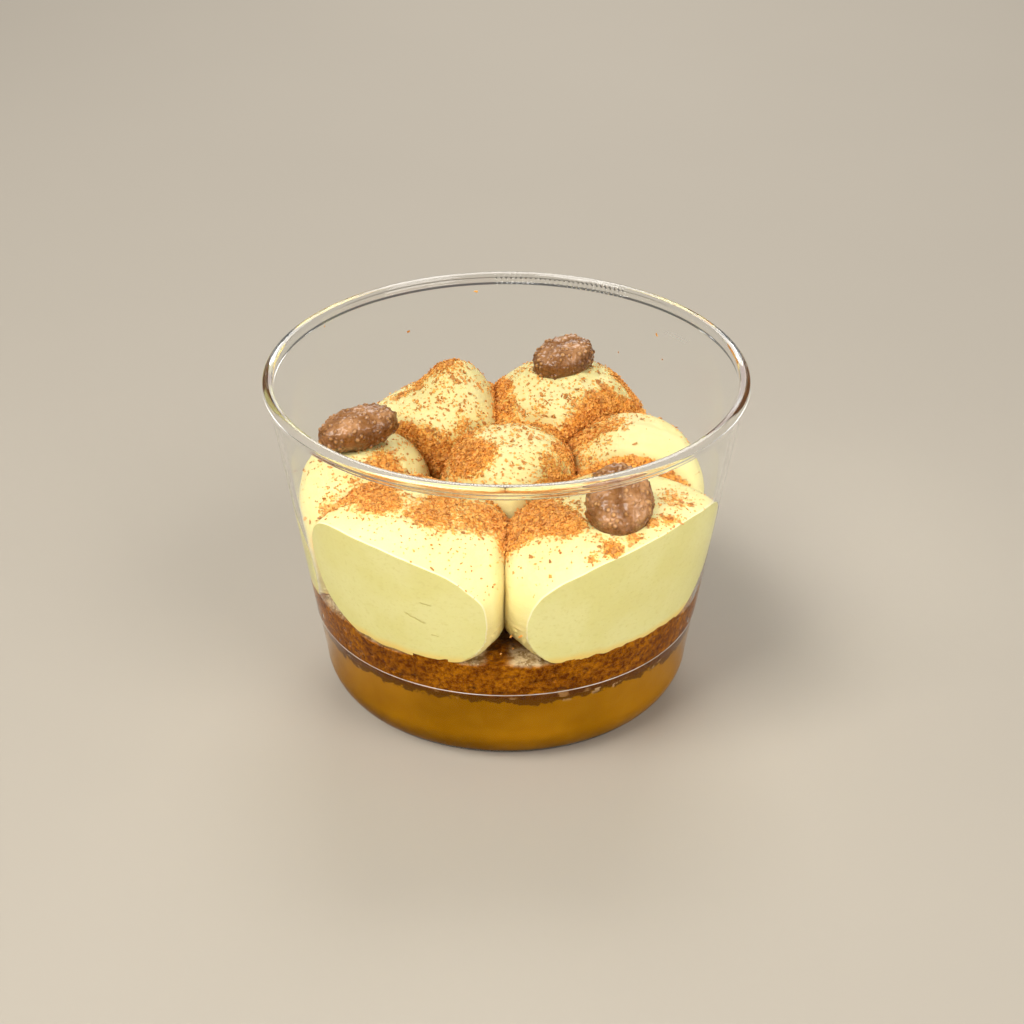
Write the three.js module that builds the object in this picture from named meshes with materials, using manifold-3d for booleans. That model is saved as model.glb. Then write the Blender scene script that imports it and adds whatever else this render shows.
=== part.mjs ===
// A tiramisu in a clear, tapered plastic dessert cup: a coffee caramel layer, a soaked sponge
// layer, seven piped dollops of cream dusted with chocolate flakes, and three chocolate beans.
// Millimetres, +Z up. The origin is the centre of the cup's underside.
import * as THREE from 'three';
import { mergeVertices } from 'three/addons/utils/BufferGeometryUtils.js';
import Module from 'manifold-3d';

const wasm = await Module();
wasm.setup();

// Cup
const CUP_HEIGHT = 68.7;
const RIM_RADIUS = 47.5;
const RIM_HEIGHT = 2.9;
const WALL_THICKNESS = 1.1;
const LINE_HEIGHT = 18.5;
const LINE_RADIUS = 38.9;
const LINE_STEP = 0.15;
// How much the radius grows with the height, above the line and below it
const WALL_SLOPE = 0.161;
const FOOT_SLOPE = 0.177;
const BASE_FILLET = 8.1;
const CUP_SEGMENTS = 64;
const FILLET_STEPS = 4;
// The rim's outline: [how far inside the rim's radius, how far above the rim's foot]
const RIM_OUTLINE = [
  [0.8, 0.15],
  [0.4, 0.5],
  [0.4, 1.2],
  [0, 1.5],
  [0.1, 2.3],
  [1.1, RIM_HEIGHT],
  [2.4, 2.6],
];

// Contents, and the clearance they keep to the wall and to each other
const CLEARANCE = 0.3;
const CARAMEL_TOP = 16.6;
const SPONGE_TOP = 25.4;
const CREAM_BASE = 25.7;
const LAYER_SEGMENTS = 52;
const LAYER_WAVE = 0.5;
const CRUMB_RELIEF = 0.5;
const CRUMB_SPACING = 10.5;
// Where the flat rings of the layers' faces lie, as shares of the layer's radius
const LAYER_RINGS = [0.8, 0.45];
const SPONGE_RINGS = [0.92, 0.78, 0.55, 0.28];

// Piped cream
const CENTRE_SPLIT = 12.5;
const CREASE_ROUNDING = 2.4;
const BASE_ROUNDING = 0.8;
const CREAM_DETAIL = 5;
// How far apart the points lie, in radians, that a dollop's normal is worked out from
const NORMAL_STEP = 0.03;

// Chocolate flakes and beans
const FLAKES_PER_DOLLOP = 6;
const FLAKE_SIZE = [2.2, 3.4];
const FLAKE_NARROWING = [0.55, 0.85];
const FLAKE_TAPER = 0.8;
const FLAKE_THICKNESS = 1.2;
const FLAKE_SINK = 0.2;
const FLAKE_SIDES = 5;
const FLAKE_SPACING = 3.4;
const FLAKE_MARGIN = 1.9;
const FLAKE_ATTEMPTS = 400;
const FIRST_FLAKE_SEED = 100;
// The least rise of a direction, and the least upward part of a normal, where a flake may lie
const FLAKE_RISE = 0.35;
const FLAKE_LEVEL = 0.5;
const BEAN_DETAIL = 2;
// How deep the underside is beside the top, and the power that flattens the top
const BEAN_UNDERSIDE = 0.85;
const BEAN_FLATTENING = 0.7;
const BEAN_SEAT_CLEARANCE = 0.75;
const NODULES_PER_BEAN = 13;
const NODULE_SIZE = [0.55, 0.85];
const NODULE_SINK = 0.35;
const NODULE_JITTER = 0.5;
// The highest and lowest nodules, as shares of the bean's half depth
const NODULE_BAND = [0.9, -0.35];

// Each dollop of cream. azimuth, from and to are degrees counter-clockwise from +X. distance is
// how far its middle lies from the axis, and height is where it is widest. inward, outward,
// sideways, up and down are its half sizes. roll tips it sideways, in radians. plan and section
// set how square it is, and peaks are [azimuth, elevation, height, width], angles in degrees.
const DOLLOPS = {
  cream_front_left: {
    azimuth: -124.7, from: -157, to: -91, distance: 31.4, height: 38.5, inward: 23, outward: 19.5,
    sideways: 20.4, up: 12.4, down: 15, roll: -0.17, planIn: 2.8, planOut: 2.1, section: 2.4,
    peaks: [],
  },
  cream_front_right: {
    azimuth: -48, from: -91, to: -9, distance: 31.9, height: 37.8, inward: 23, outward: 21.5,
    sideways: 24.2, up: 13.1, down: 15, roll: 0.12, planIn: 2.8, planOut: 2.05, section: 2.4,
    peaks: [],
  },
  cream_right: {
    azimuth: 13, from: -9, to: 38, distance: 26.8, height: 38.3, inward: 15.5, outward: 13.8,
    sideways: 16.6, up: 14.5, down: 15, roll: 0, planIn: 2.3, planOut: 2.2, section: 2.3,
    peaks: [],
  },
  cream_back_right: {
    azimuth: 63.3, from: 38, to: 96, distance: 25.5, height: 39.4, inward: 16, outward: 18,
    sideways: 18.3, up: 18.6, down: 16, roll: -0.05, planIn: 2.3, planOut: 2.2, section: 2,
    peaks: [],
  },
  cream_back_left: {
    azimuth: 123.5, from: 96, to: 150, distance: 25.2, height: 37.8, inward: 14.6, outward: 16.8,
    sideways: 17.4, up: 15.2, down: 16, roll: -0.19, planIn: 2.2, planOut: 2.2, section: 2.3,
    peaks: [[-112, 78, 6.0, 22]],
  },
  cream_left: {
    azimuth: 176.5, from: 150, to: 203, distance: 27.4, height: 33, inward: 12.8, outward: 15.8,
    sideways: 18.8, up: 18.2, down: 15, roll: 0, planIn: 2.2, planOut: 2.7, section: 2.4,
    peaks: [],
  },
  cream_centre: {
    azimuth: 0, from: null, to: null, distance: 1, height: 37.1, inward: 14.3, outward: 14.3,
    sideways: 14, up: 17.3, down: 15, roll: 0, planIn: 2.2, planOut: 2.2, section: 2.5,
    peaks: [],
  },
};

// Each bean: its middle, half sizes, turn about Z and nose-up tilt in degrees, the dollop it
// lies on, and the seed of its nodules.
const BEANS = {
  coffee_bean_left: {
    middle: [-29.3, 2, 54.2], half: [8.1, 5.0, 4.3], turn: 23, tilt: 6, lies_on: 'cream_left',
    seed: 11,
  },
  coffee_bean_back: {
    middle: [11.8, 24, 58.9], half: [6.8, 5.2, 4.2], turn: 38, tilt: 5, lies_on: 'cream_back_right',
    seed: 12,
  },
  coffee_bean_front: {
    middle: [21.3, -24.8, 52.9], half: [7.8, 6.4, 4.8], turn: -90, tilt: -30,
    lies_on: 'cream_front_right', seed: 13,
  },
};

const LOOKS = {
  cup: { color: 0xeef2f0, roughness: 0.08, transparent: true, opacity: 0.3 },
  caramel: { color: 0xa56a1c, roughness: 0.35 },
  sponge: { color: 0x7a4412, roughness: 0.85 },
  cream: { color: 0xf6ecbc, roughness: 0.55 },
  chocolate: { color: 0x6f3f24, roughness: 0.35 },
};

const degrees = THREE.MathUtils.degToRad;

// A repeatable source of numbers from 0 to 1
function randomSource(seed) {
  let state = seed;
  return () => {
    state = (state * 1664525 + 1013904223) % 4294967296;
    return state / 4294967296;
  };
}

function between([low, high], share) {
  return low + (high - low) * share;
}

// The lower of a and b, with the crease between them rounded over the distance k
function smoothMin(a, b, k) {
  const h = THREE.MathUtils.clamp(0.5 + (0.5 * (b - a)) / k, 0, 1);
  return b * (1 - h) + a * h - k * h * (1 - h);
}

// Shared vertices merged and collapsed triangles dropped
function closedGeometry(geometry) {
  geometry.deleteAttribute('normal');
  geometry.deleteAttribute('uv');
  const merged = mergeVertices(geometry, 1e-4);
  const index = merged.getIndex().array;
  const kept = [];
  for (let i = 0; i < index.length; i += 3) {
    const [a, b, c] = [index[i], index[i + 1], index[i + 2]];
    if (a !== b && b !== c && c !== a) kept.push(a, b, c);
  }
  merged.setIndex(kept);
  return merged;
}

function solidFrom(geometry) {
  const closed = closedGeometry(geometry);
  const vertProperties = new Float32Array(closed.getAttribute('position').array);
  const triVerts = new Uint32Array(closed.getIndex().array);
  return new wasm.Manifold(new wasm.Mesh({ numProp: 3, vertProperties, triVerts }));
}

function geometryFrom(solid) {
  const mesh = solid.getMesh();
  const geometry = new THREE.BufferGeometry();
  geometry.setAttribute('position', new THREE.BufferAttribute(mesh.vertProperties, 3));
  geometry.setIndex(Array.from(mesh.triVerts));
  return geometry;
}

function moveVertices(geometry, place) {
  const position = geometry.getAttribute('position');
  const vertex = new THREE.Vector3();
  for (let i = 0; i < position.count; i++) {
    vertex.fromBufferAttribute(position, i);
    place(vertex);
    position.setXYZ(i, vertex.x, vertex.y, vertex.z);
  }
  return geometry;
}

// A profile of [radius, height] points turned about Z
function turned(profile, segments) {
  const points = profile.map(([radius, height]) => new THREE.Vector2(radius, height));
  return closedGeometry(new THREE.LatheGeometry(points, segments).rotateX(Math.PI / 2));
}

function outerRadius(height) {
  const slope = height > LINE_HEIGHT ? WALL_SLOPE : FOOT_SLOPE;
  return LINE_RADIUS + slope * (height - LINE_HEIGHT);
}

function innerRadius(height) {
  return outerRadius(height) - WALL_THICKNESS;
}

// The quarter turn from the flat base up into the wall, set in from the outside by inset
function baseFillet(inset) {
  const middle = outerRadius(BASE_FILLET) - BASE_FILLET;
  const radius = BASE_FILLET - inset;
  const points = [];
  for (let step = 0; step <= FILLET_STEPS; step++) {
    const angle = ((step / FILLET_STEPS) * Math.PI) / 2;
    points.push([middle + radius * Math.sin(angle), BASE_FILLET - radius * Math.cos(angle)]);
  }
  return points;
}

function cupGeometry() {
  const rimFoot = CUP_HEIGHT - RIM_HEIGHT;
  const profile = [
    [0, 0],
    ...baseFillet(0),
    [outerRadius(LINE_HEIGHT) - LINE_STEP, LINE_HEIGHT - 2 * LINE_STEP],
    [outerRadius(LINE_HEIGHT), LINE_HEIGHT],
    [outerRadius(rimFoot), rimFoot],
    ...RIM_OUTLINE.map(([inset, rise]) => [RIM_RADIUS - inset, rimFoot + rise]),
    [innerRadius(rimFoot), rimFoot],
    ...baseFillet(WALL_THICKNESS).reverse(),
    [0, WALL_THICKNESS],
  ];
  return turned(profile, CUP_SEGMENTS);
}

// How far the line between caramel and sponge rises or dips, growing towards the wall
function layerWave(x, y) {
  const angle = Math.atan2(y, x);
  const reach = Math.hypot(x, y) / LINE_RADIUS;
  return LAYER_WAVE * reach * (Math.sin(3 * angle + 0.6) + 0.6 * Math.sin(7 * angle + 2.1));
}

// Crumbly dips in the sponge's upper face, from 0 to 1: two crossing sets of ripples
function crumbDip(x, y) {
  const u = (2 * Math.PI * x) / CRUMB_SPACING;
  const v = (2 * Math.PI * y) / CRUMB_SPACING;
  const coarse = Math.sin(u + 1.1) * Math.sin(v + 0.4);
  const fine = Math.sin(2.2 * u - 1.5 * v) * Math.sin(1.8 * u + 2 * v);
  return 0.5 + 0.3 * coarse + 0.2 * fine;
}

function caramelGeometry() {
  const edge = innerRadius(CARAMEL_TOP) - CLEARANCE;
  const profile = [
    [0, WALL_THICKNESS + CLEARANCE],
    ...baseFillet(WALL_THICKNESS + CLEARANCE),
    [edge, CARAMEL_TOP],
    ...LAYER_RINGS.map((share) => [edge * share, CARAMEL_TOP]),
    [0, CARAMEL_TOP],
  ];
  return moveVertices(turned(profile, LAYER_SEGMENTS), (vertex) => {
    if (vertex.z < CARAMEL_TOP - 0.01) return;
    vertex.z += layerWave(vertex.x, vertex.y);
  });
}

function spongeGeometry() {
  const bottom = CARAMEL_TOP + CLEARANCE;
  const bottomEdge = innerRadius(bottom - 2 * LAYER_WAVE) - CLEARANCE;
  const topEdge = innerRadius(SPONGE_TOP - CRUMB_RELIEF) - CLEARANCE;
  const profile = [
    [0, bottom],
    ...LAYER_RINGS.map((share) => [bottomEdge * share, bottom]).reverse(),
    [bottomEdge, bottom],
    [topEdge, SPONGE_TOP],
    ...SPONGE_RINGS.map((share) => [topEdge * share, SPONGE_TOP]),
    [0, SPONGE_TOP],
  ];
  return moveVertices(turned(profile, LAYER_SEGMENTS), (vertex) => {
    if (vertex.z < bottom + 0.01) vertex.z += layerWave(vertex.x, vertex.y);
    else vertex.z -= CRUMB_RELIEF * crumbDip(vertex.x, vertex.y);
  });
}

// Unit vectors outward from the cup's axis and counter-clockwise round it
function dollopAxes(dollop) {
  const angle = degrees(dollop.azimuth);
  const outward = new THREE.Vector3(Math.cos(angle), Math.sin(angle), 0);
  const around = new THREE.Vector3(-Math.sin(angle), Math.cos(angle), 0);
  return { outward, around };
}

function dollopMiddle(dollop) {
  const middle = dollopAxes(dollop).outward.multiplyScalar(dollop.distance);
  middle.z = dollop.height;
  return middle;
}

// The rounded blob of one dollop before anything presses on it: its radius along a direction
function blobRadius(dollop, direction) {
  const { outward, around } = dollopAxes(dollop);
  const x = direction.dot(outward);
  const side = direction.dot(around);
  const y = Math.cos(dollop.roll) * side + Math.sin(dollop.roll) * direction.z;
  const z = Math.cos(dollop.roll) * direction.z - Math.sin(dollop.roll) * side;
  const reach = x > 0 ? dollop.outward : dollop.inward;
  const plan = x > 0 ? dollop.planOut : dollop.planIn;
  const depth = z > 0 ? dollop.up : dollop.down;
  const flat = (Math.abs(x / reach) ** plan + Math.abs(y / dollop.sideways) ** plan) ** (1 / plan);
  let radius = (flat ** dollop.section + Math.abs(z / depth) ** dollop.section) ** (-1 / dollop.section);
  for (const [azimuth, elevation, height, width] of dollop.peaks) {
    const a = degrees(azimuth);
    const e = degrees(elevation);
    const towards = outward.clone().multiplyScalar(Math.cos(a) * Math.cos(e));
    towards.addScaledVector(around, Math.sin(a) * Math.cos(e));
    towards.z += Math.sin(e);
    const off = THREE.MathUtils.radToDeg(Math.acos(THREE.MathUtils.clamp(direction.dot(towards), -1, 1)));
    radius += height * Math.exp(-((off / width) ** 2));
  }
  return radius;
}

// The planes a dollop is pressed against: [unit normal, distance from the origin, rounding]
function dollopPlanes(name) {
  const dollop = DOLLOPS[name];
  const gap = CLEARANCE / 2;
  const planes = [[new THREE.Vector3(0, 0, -1), -CREAM_BASE, BASE_ROUNDING]];
  if (dollop.from === null) {
    for (const [other, settings] of Object.entries(DOLLOPS)) {
      if (other === name) continue;
      planes.push([dollopAxes(settings).outward, CENTRE_SPLIT - gap, CREASE_ROUNDING]);
    }
    return planes;
  }
  const from = degrees(dollop.from);
  const to = degrees(dollop.to);
  const towardsFrom = new THREE.Vector3(Math.sin(from), -Math.cos(from), 0);
  const towardsTo = new THREE.Vector3(-Math.sin(to), Math.cos(to), 0);
  planes.push([towardsFrom, -gap, CREASE_ROUNDING]);
  planes.push([towardsTo, -gap, CREASE_ROUNDING]);
  planes.push([dollopAxes(dollop).outward.negate(), -CENTRE_SPLIT - gap, CREASE_ROUNDING]);
  return planes;
}

// The space inside the cup, less the clearance, that flattens the dollops against the wall
function cupHollow() {
  const low = CREAM_BASE - 1;
  const profile = [
    [0, low],
    [innerRadius(low) - CLEARANCE, low],
    [innerRadius(CUP_HEIGHT) - CLEARANCE, CUP_HEIGHT],
    [0, CUP_HEIGHT],
  ];
  return solidFrom(turned(profile, CUP_SEGMENTS));
}

function dollopRadius(name, direction) {
  const dollop = DOLLOPS[name];
  const middle = dollopMiddle(dollop);
  let radius = blobRadius(dollop, direction);
  for (const [normal, offset, rounding] of dollopPlanes(name)) {
    const facing = direction.dot(normal);
    if (facing < 1e-6) continue;
    const distance = (offset - middle.dot(normal)) / facing;
    radius = smoothMin(radius, Math.min(distance, RIM_RADIUS * 2), rounding);
  }
  return radius;
}

function dollopPoint(name, direction) {
  return dollopMiddle(DOLLOPS[name]).addScaledVector(direction, dollopRadius(name, direction));
}

function dollopNormal(name, direction) {
  const sideways = new THREE.Vector3(0, 0, 1).cross(direction).normalize();
  const upward = direction.clone().cross(sideways);
  const here = dollopPoint(name, direction);
  const besideIt = direction.clone().addScaledVector(sideways, NORMAL_STEP).normalize();
  const aboveIt = direction.clone().addScaledVector(upward, NORMAL_STEP).normalize();
  const along = dollopPoint(name, besideIt).sub(here);
  const above = dollopPoint(name, aboveIt).sub(here);
  return along.cross(above).normalize();
}

// A broken-off flake: a many-sided plate, narrower on top and longer than wide
function flakeGeometry(size, random) {
  const radius = size / 2;
  const flake = new THREE.CylinderGeometry(radius * FLAKE_TAPER, radius, FLAKE_THICKNESS, FLAKE_SIDES);
  return flake.rotateX(Math.PI / 2).scale(1, between(FLAKE_NARROWING, random()), 1);
}

// Whether a point keeps the flakes' margin to the wall, the neighbours and the beans
function isClear(name, point) {
  for (const [normal, offset] of dollopPlanes(name)) {
    if (offset - point.dot(normal) < FLAKE_MARGIN) return false;
  }
  if (innerRadius(point.z) - Math.hypot(point.x, point.y) < FLAKE_MARGIN) return false;
  for (const bean of Object.values(BEANS)) {
    if (point.distanceTo(new THREE.Vector3(...bean.middle)) < bean.half[0] + FLAKE_MARGIN) return false;
  }
  return true;
}

// Flakes spread over the upper side of a dollop, no two of them touching
function flakes(name, seed) {
  const random = randomSource(seed);
  const solids = [];
  const places = [];
  for (let attempt = 0; attempt < FLAKE_ATTEMPTS && solids.length < FLAKES_PER_DOLLOP; attempt++) {
    const turn = random() * Math.PI * 2;
    const rise = between([FLAKE_RISE, 1], random());
    const level = Math.sqrt(1 - rise * rise);
    const direction = new THREE.Vector3(Math.cos(turn) * level, Math.sin(turn) * level, rise);
    const size = between(FLAKE_SIZE, random());
    const point = dollopPoint(name, direction);
    const normal = dollopNormal(name, direction);
    if (!isClear(name, point) || normal.z < FLAKE_LEVEL) continue;
    point.addScaledVector(normal, -FLAKE_SINK);
    if (places.some((place) => place.distanceTo(point) < FLAKE_SPACING)) continue;
    const facing = new THREE.Quaternion().setFromUnitVectors(new THREE.Vector3(0, 0, 1), normal);
    const flake = flakeGeometry(size, random);
    flake.rotateZ(random() * Math.PI * 2);
    flake.applyQuaternion(facing);
    flake.translate(point.x, point.y, point.z);
    solids.push(solidFrom(flake));
    places.push(point);
  }
  return solids;
}

function placeBean(geometry, bean) {
  geometry.rotateY(degrees(-bean.tilt));
  geometry.rotateZ(degrees(bean.turn));
  geometry.translate(...bean.middle);
  return geometry;
}

// The height of the bean's surface, where that of a ball is z
function beanRise(z) {
  return z < 0 ? z * BEAN_UNDERSIDE : z ** BEAN_FLATTENING;
}

// The plain bean, grown on every side by extra
function beanBody(bean, extra) {
  const [length, width, depth] = bean.half.map((half) => half + extra);
  const body = closedGeometry(new THREE.IcosahedronGeometry(1, BEAN_DETAIL));
  moveVertices(body, (vertex) => {
    vertex.set(vertex.x * length, vertex.y * width, beanRise(vertex.z) * depth);
  });
  return solidFrom(placeBean(body, bean));
}

// A bean with crisp nodules under its chocolate, set evenly on a spiral
function beanGeometry(bean) {
  const random = randomSource(bean.seed);
  const goldenAngle = Math.PI * (3 - Math.sqrt(5));
  let solid = beanBody(bean, 0);
  for (let i = 0; i < NODULES_PER_BEAN; i++) {
    const z = between(NODULE_BAND, (i + 0.5) / NODULES_PER_BEAN);
    const level = Math.sqrt(1 - z * z);
    const turn = goldenAngle * i + NODULE_JITTER * random();
    const size = between(NODULE_SIZE, random());
    const nodule = new THREE.IcosahedronGeometry(size, 0);
    const [length, width, depth] = bean.half.map((half) => half - size * NODULE_SINK);
    nodule.translate(Math.cos(turn) * level * length, Math.sin(turn) * level * width, beanRise(z) * depth);
    solid = solid.add(solidFrom(placeBean(nodule, bean)));
  }
  return geometryFrom(solid);
}

// One dollop, flat where it meets the wall, with its flakes fused on and a seat pressed into it
// by any bean that it carries
function dollopGeometry(name, seed) {
  const surface = closedGeometry(new THREE.IcosahedronGeometry(1, CREAM_DETAIL));
  moveVertices(surface, (vertex) => vertex.copy(dollopPoint(name, vertex.clone().normalize())));
  let solid = solidFrom(surface).intersect(cupHollow());
  for (const flake of flakes(name, seed)) solid = solid.add(flake);
  for (const bean of Object.values(BEANS)) {
    if (bean.lies_on === name) solid = solid.subtract(beanBody(bean, BEAN_SEAT_CLEARANCE));
  }
  return geometryFrom(solid);
}

function addPiece(group, name, geometry, look) {
  const mesh = new THREE.Mesh(geometry, new THREE.MeshStandardMaterial({ metalness: 0, ...look }));
  mesh.name = name;
  geometry.computeVertexNormals();
  group.add(mesh);
}

const tiramisuCup = new THREE.Group();
addPiece(tiramisuCup, 'cup', cupGeometry(), LOOKS.cup);
addPiece(tiramisuCup, 'caramel_layer', caramelGeometry(), LOOKS.caramel);
addPiece(tiramisuCup, 'sponge_layer', spongeGeometry(), LOOKS.sponge);
Object.keys(DOLLOPS).forEach((name, order) => {
  addPiece(tiramisuCup, name, dollopGeometry(name, FIRST_FLAKE_SEED + order), LOOKS.cream);
});
for (const [name, bean] of Object.entries(BEANS)) {
  addPiece(tiramisuCup, name, beanGeometry(bean), LOOKS.chocolate);
}

export default tiramisuCup;
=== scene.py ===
"""The looks of a tiramisu in a clear plastic dessert cup.

Sizes are millimetres with +Z up, and the origin is the centre of the cup's underside. Meshes are
made in metres by make_piece.
"""

import math

import bmesh
import bpy
import numpy as np
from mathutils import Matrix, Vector, noise


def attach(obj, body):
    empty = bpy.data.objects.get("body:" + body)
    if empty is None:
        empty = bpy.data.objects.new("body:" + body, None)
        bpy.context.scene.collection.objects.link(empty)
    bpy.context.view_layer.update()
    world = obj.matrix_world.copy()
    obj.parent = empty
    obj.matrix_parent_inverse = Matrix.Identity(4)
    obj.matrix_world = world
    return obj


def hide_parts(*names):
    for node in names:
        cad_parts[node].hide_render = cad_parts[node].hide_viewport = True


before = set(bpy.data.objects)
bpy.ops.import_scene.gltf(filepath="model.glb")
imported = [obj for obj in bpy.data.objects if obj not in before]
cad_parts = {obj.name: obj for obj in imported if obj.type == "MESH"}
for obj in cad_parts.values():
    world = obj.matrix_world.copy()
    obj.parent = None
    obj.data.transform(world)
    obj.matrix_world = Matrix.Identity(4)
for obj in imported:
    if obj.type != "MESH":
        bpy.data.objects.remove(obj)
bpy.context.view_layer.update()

MM = 0.001

# Camera and stage
CAMERA_PLACE = (0, -411.7, 273.9)
CAMERA_TARGET = (0, 0, 36.6)
CAMERA_LENS = 82.955
CAMERA_SHIFT = 5.7 / 1024
FLOOR_SIZE = 6000
FLOOR_COLOUR = (0.52, 0.47, 0.395)
WORLD_COLOUR = (1.0, 0.985, 0.96)
WORLD_STRENGTH = 0.13
LIGHT_BOUNCES = 24
# Each soft light: name, place, what it points at, size in mm, strength in watts, colour
LIGHTS = [
    ("key", (-380, -330, 620), (0, 0, 40), 420, 5.2, (1.0, 0.97, 0.92)),
    ("fill", (480, -460, 420), (0, 0, 30), 460, 3.1, (1.0, 0.97, 0.93)),
    ("back", (60, 620, 520), (0, 0, 45), 460, 2.6, (1.0, 0.98, 0.95)),
]

# Cup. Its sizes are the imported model's, with finer rings, rounder fillets and a ridge at the line
CUP_HEIGHT = 68.7
RIM_RADIUS = 47.5
RIM_HEIGHT = 2.9
WALL_THICKNESS = 1.1
LINE_HEIGHT = 18.5
LINE_RADIUS = 38.9
LINE_STEP = 0.15
LINE_WIDTH = 0.17
LINE_SIDES = 6
# How much the radius grows with the height, above the line and below it
WALL_SLOPE = 0.161
FOOT_SLOPE = 0.177
BASE_FILLET = 8.1
FILLET_STEPS = 14
CUP_SEGMENTS = 240
# How many rings the wall has above the line, and how far from its ends the first ones lie
WALL_RINGS = 8
RING_MARGIN = 0.4
# The rim's outline: how far inside the rim's radius, how far above the rim's foot
RIM_OUTLINE = [(0.8, 0.15), (0.4, 0.5), (0.4, 1.2), (0, 1.5), (0.1, 2.3), (1.1, 2.9), (2.4, 2.6)]

# Contents. WALL_REACH is how far what touches the wall reaches into it
WALL_REACH = 0.05
# The same for the sponge at its foot and above it
SPONGE_REACH = (0.03, 0.06)
# How near the wall a layer's point counts as one of its side
SIDE_MARGIN = 0.3
# How far the sponge's mesh starts below the caramel's top, how far above SPONGE_TOP its crumbs
# rise, and the rings of its side and of its upper face
SPONGE_DEPTH = 2.4
SPONGE_RISE = 0.6
SPONGE_RINGS = (46, 60)
CARAMEL_TOP = 16.6
SPONGE_TOP = 25.4
CREAM_BASE = 25.3
CREAM_BASE_WAVE = 0.55
LAYER_WAVE = 0.5
LAYER_SEGMENTS = 480

# Piped cream. CENTRE_SPLIT is how far from the axis the centre dollop meets the others
CENTRE_SPLIT = 12.5
# Below 0, so that neighbouring dollops overlap and no dark slit shows between them
CREASE_GAP = -0.5
CREASE_ROUNDING = 2.4
BASE_ROUNDING = 0.8
CREAM_CUTS = 59
# How deep a point must lie in another dollop to count as hidden
HIDDEN_DEPTH = 0.15
# The cream pushed up round a bean: where it is highest, with the bean's surface at 1, and its width
LIP_PLACE = 1.14
LIP_WIDTH = 0.13
# The wrinkles low on a dollop: their height, how fast they follow on each other, and how far
# above the dollop's foot they end and are full
WRINKLE_HEIGHT = 0.18
WRINKLE_RATE = 5.5
WRINKLE_SPAN = (13, 4)

# Each dollop of cream. azimuth and span, which the centre one hasn't, are degrees counter-clockwise
# from +X. distance is how far its middle lies from the axis, and height is where it is widest.
# inward, outward, sideways, up and down are its half sizes. roll tips it sideways, in radians. plan
# and section set how square it is, and peaks are (azimuth, elevation, height, width), angles in
# degrees. MOST_DOLLOPS has what most of them share.
MOST_DOLLOPS = dict(down=15, roll=0, plan_in=2.2, plan_out=2.2, section=2.4, peaks=[])
DOLLOPS = {
    "cream_front_left": MOST_DOLLOPS | dict(
        azimuth=-124.7, span=(-157, -91), distance=31.4, height=38.5, inward=23, outward=19.5,
        sideways=20.4, up=12.4, roll=-0.17, plan_in=2.8, plan_out=2.1,
    ),
    "cream_front_right": MOST_DOLLOPS | dict(
        azimuth=-48, span=(-91, -9), distance=31.9, height=37.8, inward=23, outward=21.5,
        sideways=24.2, up=13.1, roll=0.12, plan_in=2.8, plan_out=2.05,
    ),
    "cream_right": MOST_DOLLOPS | dict(
        azimuth=13, span=(-9, 38), distance=26.8, height=38.3, inward=15.5, outward=13.8,
        sideways=16.6, up=14.5, plan_in=2.3, section=2.3,
    ),
    "cream_back_right": MOST_DOLLOPS | dict(
        azimuth=63.3, span=(38, 96), distance=25.5, height=39.4, inward=16, outward=18,
        sideways=18.3, up=18.6, down=16, roll=-0.05, plan_in=2.3, section=2,
    ),
    "cream_back_left": MOST_DOLLOPS | dict(
        azimuth=123.5, span=(96, 150), distance=25.2, height=37.8, inward=14.6, outward=16.8,
        sideways=17.4, up=15.2, down=16, roll=-0.19, section=2.3, peaks=[(-112, 78, 6.0, 22)],
    ),
    "cream_left": MOST_DOLLOPS | dict(
        azimuth=176.5, span=(150, 203), distance=27.4, height=33, inward=12.8, outward=15.8,
        sideways=18.8, up=18.2, plan_out=2.7,
    ),
    "cream_centre": MOST_DOLLOPS | dict(
        azimuth=0, span=None, distance=1, height=37.1, inward=14.3, outward=14.3,
        sideways=14, up=17.3, section=2.5,
    ),
}

# Each bean: its middle, half sizes, turn about Z and nose-up tilt in degrees, its seed, how far the
# cream is pushed up round it, and how deep the groove along its top is
BEANS = {
    "coffee_bean_left": dict(
        middle=(-29.3, 2, 54.2), half=(8.1, 5.0, 4.3), turn=23, tilt=6, seed=11, lip=0.3, groove=0.25,
    ),
    "coffee_bean_back": dict(
        middle=(11.8, 24, 58.9), half=(6.8, 5.2, 4.2), turn=38, tilt=5, seed=12, lip=1.2, groove=0.5,
    ),
    "coffee_bean_front": dict(
        middle=(21.3, -24.8, 52.9), half=(7.8, 6.4, 4.8), turn=-90, tilt=-30, seed=13, lip=0.4, groove=0.6,
    ),
}
BEAN_CUTS = 60
BEAN_UNDERSIDE = 0.85
BEAN_FLATTENING = 0.7
# The groove along a bean's top: half width, how far from its ends it fades, and how deep it is at most
GROOVE = (0.95, 0.45)
DEEPEST_GROOVE = 0.6
NODULE_SPACING = 1.45
NODULE_SIZE = (0.24, 0.5)

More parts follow.
